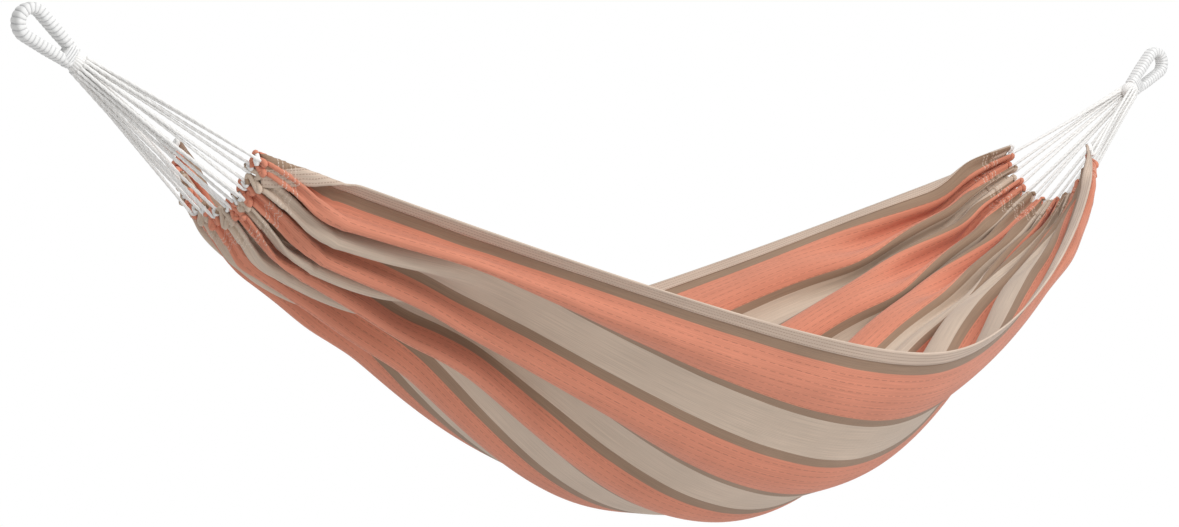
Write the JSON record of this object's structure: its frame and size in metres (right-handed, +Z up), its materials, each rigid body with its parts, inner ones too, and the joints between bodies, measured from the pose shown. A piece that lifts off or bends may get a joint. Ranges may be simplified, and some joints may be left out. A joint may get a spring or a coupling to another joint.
{
  "type": "hammock",
  "caption": "Striped cloth hammock gathered at both ends, hung by fans of string from two whipped rope eyes; it swings sideways.",
  "frame": {"origin": "on the axis of the pin or hook that the left eye hangs on, in the middle of the eye's width", "axes": "+X towards the right eye, +Y towards the back side hem, +Z up"},
  "size_m": [2.826, 1.2586, 0.9018],
  "materials": {
    "striped_canvas": "woven cotton-polyester canvas, coral, beige and taupe stripes",
    "beige_canvas": "woven canvas hem, folded and stitched",
    "header_cord": "braided white polyester cord",
    "string": "twisted white polyester string",
    "rope_core": "bundled white string",
    "whipping": "close turns of white cord"
  },
  "bodies": {
    "hanging_eyes": {"left_eye_core": "rope_core", "left_eye_whipping": "whipping", "left_neck_binding": "whipping", "left_neck_bunch": "whipping", "right_eye_core": "rope_core", "right_eye_whipping": "whipping", "right_neck_binding": "whipping", "right_neck_bunch": "whipping"},
    "bed": {"back_side_hem": "beige_canvas", "bed_cloth": "striped_canvas", "front_side_hem": "beige_canvas", "left_cord_tunnels": "striped_canvas", "left_end_hem": "striped_canvas", "left_header_cord": "header_cord", "left_string_01": "string", "left_string_02": "string", "left_string_03": "string", "left_string_04": "string", "left_string_05": "string", "left_string_06": "string", "left_string_07": "string", "left_string_08": "string", "left_string_09": "string", "left_string_10": "string", "left_string_11": "string", "left_string_12": "string", "right_cord_tunnels": "striped_canvas", "right_end_hem": "striped_canvas", "right_header_cord": "header_cord", "right_string_01": "string", "right_string_02": "string", "right_string_03": "string", "right_string_04": "string", "right_string_05": "string", "right_string_06": "string", "right_string_07": "string", "right_string_08": "string", "right_string_09": "string", "right_string_10": "string", "right_string_11": "string", "right_string_12": "string"}
  },
  "joints": [
    {"name": "swing", "type": "hinge", "parent": "hanging_eyes", "child": "bed", "pos_m": [1.38, 0, -0.05947], "axis": [1, 0, 0], "range_deg": [-40, 40]}
  ]
}
